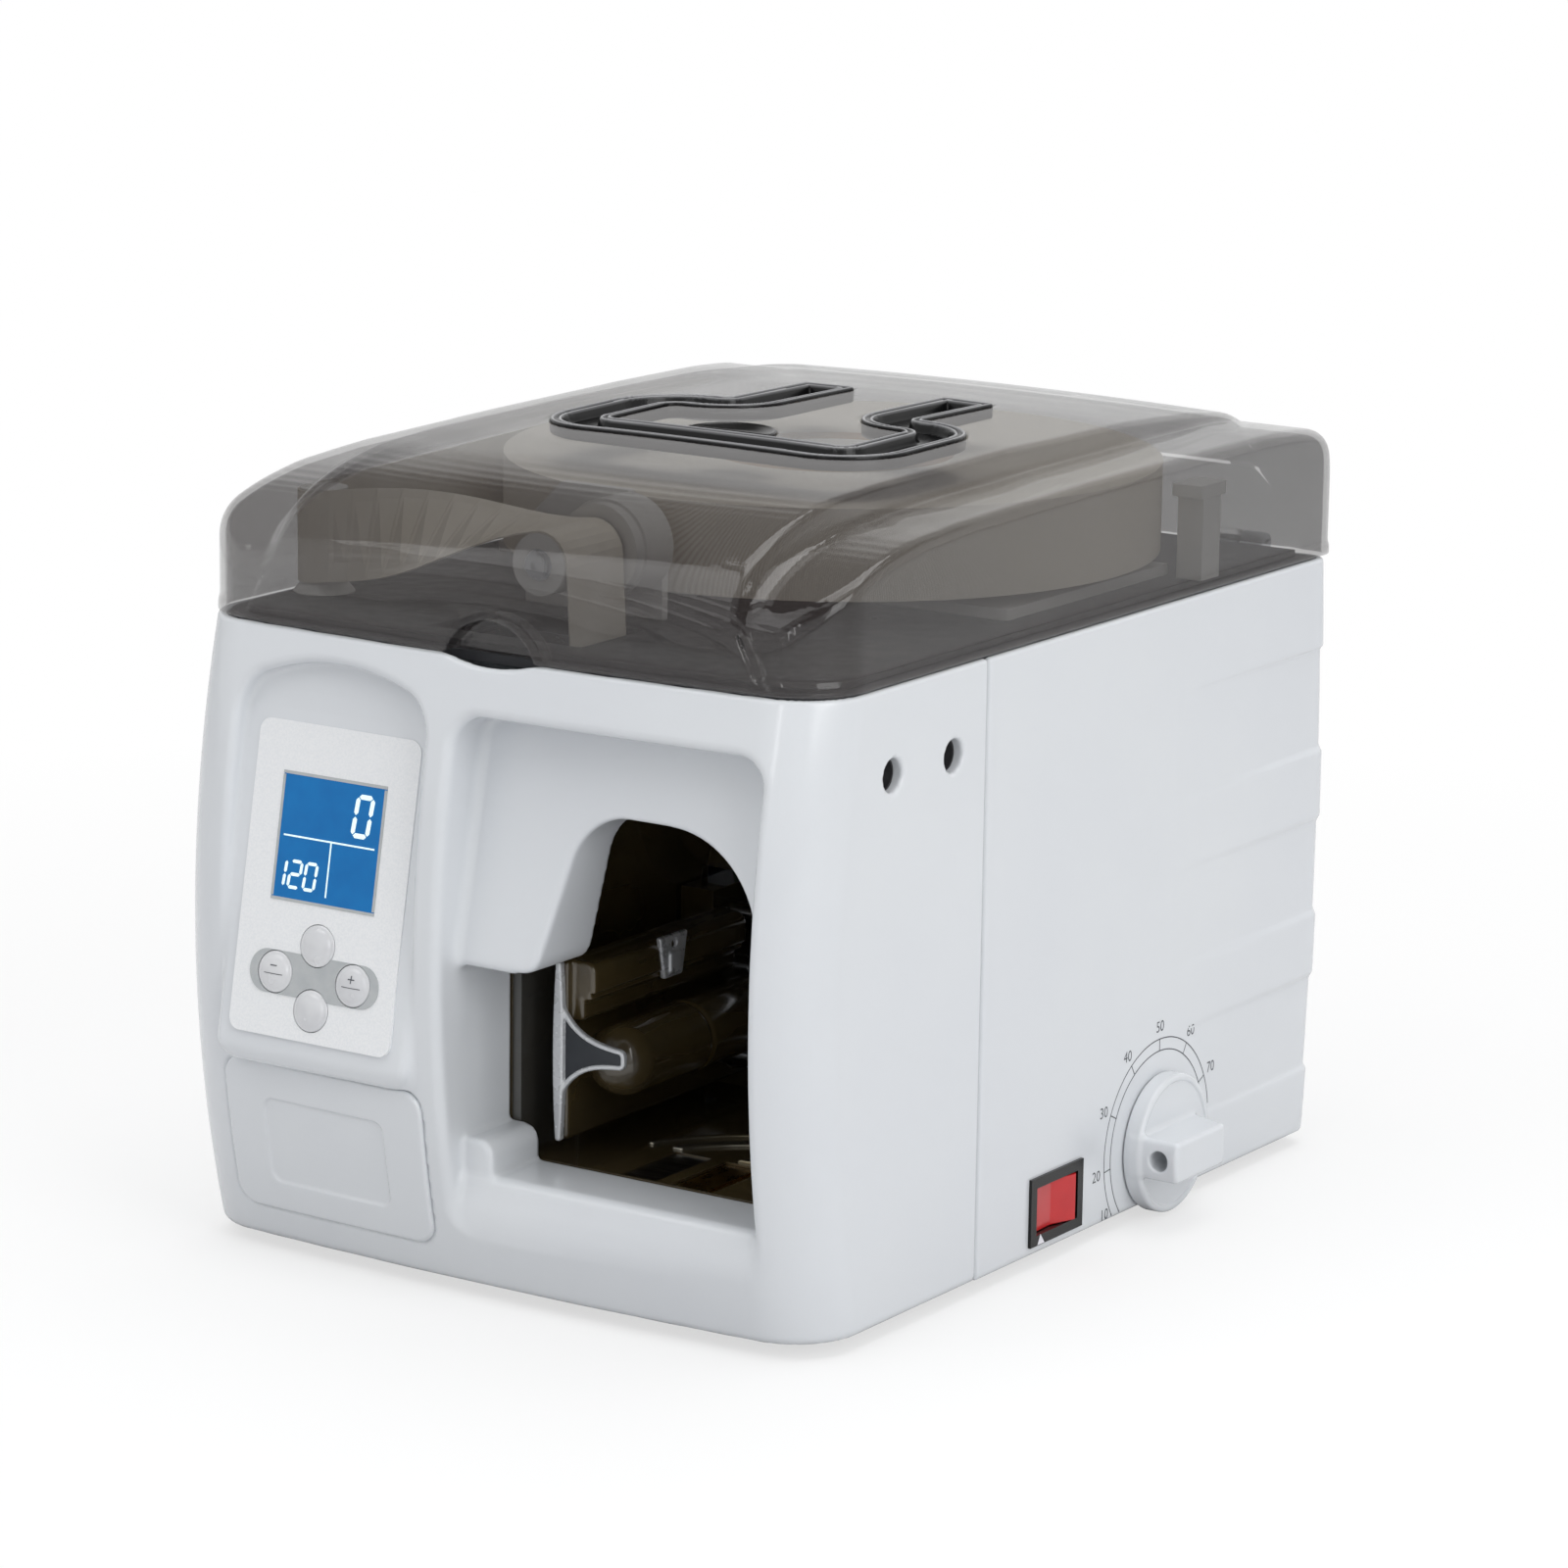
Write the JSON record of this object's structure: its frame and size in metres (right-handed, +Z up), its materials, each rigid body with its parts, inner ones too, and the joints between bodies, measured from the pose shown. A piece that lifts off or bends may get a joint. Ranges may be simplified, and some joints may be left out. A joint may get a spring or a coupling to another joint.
{
  "type": "banknote strapping machine",
  "caption": "Counter-top machine that feeds paper tape from a flat roll under a see-through lid round a stack of notes in an open bay, with a width dial and a key panel.",
  "frame": {"origin": "under the middle of the whole machine, on the surface that its rubber feet stand on", "axes": "+X to the operator's right, where the width dial is, +Y from the front with the note bay to the hinged back edge of the lid, +Z up"},
  "size_m": [0.2472, 0.3246, 0.2461],
  "materials": {
    "casing_white": "moulded plastic, white with a faint blue grey, glossy",
    "lid_smoke": "see-through smoky plastic, polished",
    "deck_dark": "dark grey plastic, fine grain",
    "black_gloss": "black plastic, polished",
    "black_matte": "black plastic, satin",
    "panel_silver": "silver plate, fine brushed grain",
    "lcd_blue": "lit blue display window",
    "key_silver": "silver keys, satin",
    "key_grey": "grey key field",
    "board_green": "circuit board, green lacquer",
    "rocker_red": "red see-through rocker",
    "steel": "zinc-plated steel",
    "bright_steel": "ground and polished steel",
    "gear_plastic": "natural acetal",
    "paper_tape": "white kraft paper tape, wound",
    "cardboard": "grey-brown cardboard core",
    "grey_plastic": "light grey plastic, satin",
    "rubber": "black rubber",
    "motor_grey": "motor can, dull",
    "brass": "heated head, brass",
    "silver_edge": "bright edge of the press plate"
  },
  "bodies": {
    "casing": {"base_plate": "steel", "rubber_feet": "rubber", "front_cover": "casing_white", "rear_housing": "casing_white", "top_deck": "deck_dark", "service_cover": "casing_white", "panel_plate": "panel_silver", "lcd_window": "lcd_blue", "key_capsule": "key_grey", "panel_board": "board_green", "switch_bezel": "black_matte", "stop_rails": "steel", "reel_tray": "grey_plastic", "guide_post": "grey_plastic", "idler_bracket": "grey_plastic", "idler_hub": "grey_plastic", "idler_screw": "bright_steel", "tape_strip": "paper_tape", "hinge_pins": "bright_steel", "lid_post": "grey_plastic", "left_frame": "steel", "right_frame": "steel", "bay_liner": "black_gloss", "tape_track": "black_gloss", "bay_bed": "black_gloss", "press_rods": "bright_steel", "press_motor": "motor_grey", "feed_frame": "steel", "feed_motor": "motor_grey", "jaw_solenoids": "motor_grey", "main_board": "board_green", "power_supply": "steel", "power_inlet": "black_matte"},
    "lid": {"lid": "lid_smoke", "grip_inlay": "black_gloss", "grip_pad": "black_gloss"},
    "roll": {"tape_roll": "paper_tape", "roll_core": "cardboard"},
    "idler": {"idler_roller": "grey_plastic", "idler_bearing": "bright_steel"},
    "feed": {"feed_roller": "rubber"},
    "pinch": {"pinch_roller": "rubber"},
    "feed_drive": {"feed_pinion": "gear_plastic"},
    "dial": {"dial_knob": "casing_white", "dial_shaft": "bright_steel", "dial_pinion": "gear_plastic"},
    "stop": {"note_stop": "black_matte", "stop_rack": "gear_plastic"},
    "press": {"press_plate": "black_gloss", "press_edge": "silver_edge", "press_bar": "black_gloss", "press_carriage": "black_matte"},
    "screw": {"press_screw": "bright_steel"},
    "jaw": {"clamp_jaw": "steel"},
    "sealer": {"seal_head": "brass"},
    "rocker": {"switch_rocker": "rocker_red"},
    "clear_key": {"key_clear": "key_silver"},
    "minus_key": {"key_minus": "key_silver"},
    "plus_key": {"key_plus": "key_silver"},
    "enter_key": {"key_enter": "key_silver"}
  },
  "joints": [
    {"name": "lid_hinge", "type": "hinge", "parent": "casing", "child": "lid", "pos_m": [-0.00965, 0.15879, 0.194], "axis": [-1, 0, 0], "range_deg": [0, 95]},
    {"name": "dial_turn", "type": "hinge", "parent": "casing", "child": "dial", "pos_m": [0.09035, 0.05039, 0.0235], "axis": [-1, 0, 0], "range_deg": [-37, 153]},
    {"name": "stop_slide", "type": "slide", "parent": "casing", "child": "stop", "axis": [0, 1, 0], "range_m": [-0.0118, 0.0484]},
    {"name": "roll_spin", "type": "hinge", "parent": "casing", "child": "roll", "pos_m": [-0.00965, 0.03389, 0.2033], "axis": [0, 0, 1], "continuous": true},
    {"name": "idler_spin", "type": "hinge", "parent": "casing", "child": "idler", "pos_m": [-0.00905, -0.10911, 0.2185], "axis": [0, 1, 0], "continuous": true},
    {"name": "feed_spin", "type": "hinge", "parent": "casing", "child": "feed", "pos_m": [-0.00975, -0.10611, 0.172], "axis": [0, 1, 0], "continuous": true},
    {"name": "pinch_spin", "type": "hinge", "parent": "casing", "child": "pinch", "pos_m": [0.00835, -0.10611, 0.172], "axis": [0, 1, 0], "continuous": true},
    {"name": "feed_drive_spin", "type": "hinge", "parent": "casing", "child": "feed_drive", "pos_m": [-0.03275, -0.09411, 0.172], "axis": [0, 1, 0], "continuous": true},
    {"name": "press_slide", "type": "slide", "parent": "casing", "child": "press", "axis": [1, 0, 0], "range_m": [0, 0.025]},
    {"name": "screw_spin", "type": "hinge", "parent": "casing", "child": "screw", "pos_m": [0.03035, -0.01111, 0.074], "axis": [1, 0, 0], "range_deg": [0, 1800]},
    {"name": "jaw_lift", "type": "slide", "parent": "casing", "child": "jaw", "axis": [0, 0, 1], "range_m": [0, 0.003]},
    {"name": "sealer_lift", "type": "slide", "parent": "casing", "child": "sealer", "axis": [0, 0, 1], "range_m": [0, 0.003]},
    {"name": "rocker_tilt", "type": "hinge", "parent": "casing", "child": "rocker", "pos_m": [0.10135, -0.01131, 0.018], "axis": [0, 0, 1], "range_deg": [0, 16]},
    {"name": "clear_press", "type": "slide", "parent": "casing", "child": "clear_key", "axis": [0, 0.9836, -0.1805], "range_m": [0, 0.0008], "stiffness_N_per_m": 300},
    {"name": "minus_press", "type": "slide", "parent": "casing", "child": "minus_key", "axis": [0, 0.9836, -0.1805], "range_m": [0, 0.0008], "stiffness_N_per_m": 300},
    {"name": "plus_press", "type": "slide", "parent": "casing", "child": "plus_key", "axis": [0, 0.9836, -0.1805], "range_m": [0, 0.0008], "stiffness_N_per_m": 300},
    {"name": "enter_press", "type": "slide", "parent": "casing", "child": "enter_key", "axis": [0, 0.9836, -0.1805], "range_m": [0, 0.0008], "stiffness_N_per_m": 300}
  ],
  "couplings": [
    {"joint": "stop_slide", "follows": "dial_turn", "m_per_rad": 0.018},
    {"joint": "idler_spin", "follows": "roll_spin", "ratio": 10.729},
    {"joint": "feed_spin", "follows": "roll_spin", "ratio": -10},
    {"joint": "pinch_spin", "follows": "roll_spin", "ratio": 14.11},
    {"joint": "feed_drive_spin", "follows": "roll_spin", "ratio": 22.857},
    {"joint": "screw_spin", "follows": "press_slide", "rad_per_m": 1256}
  ]
}
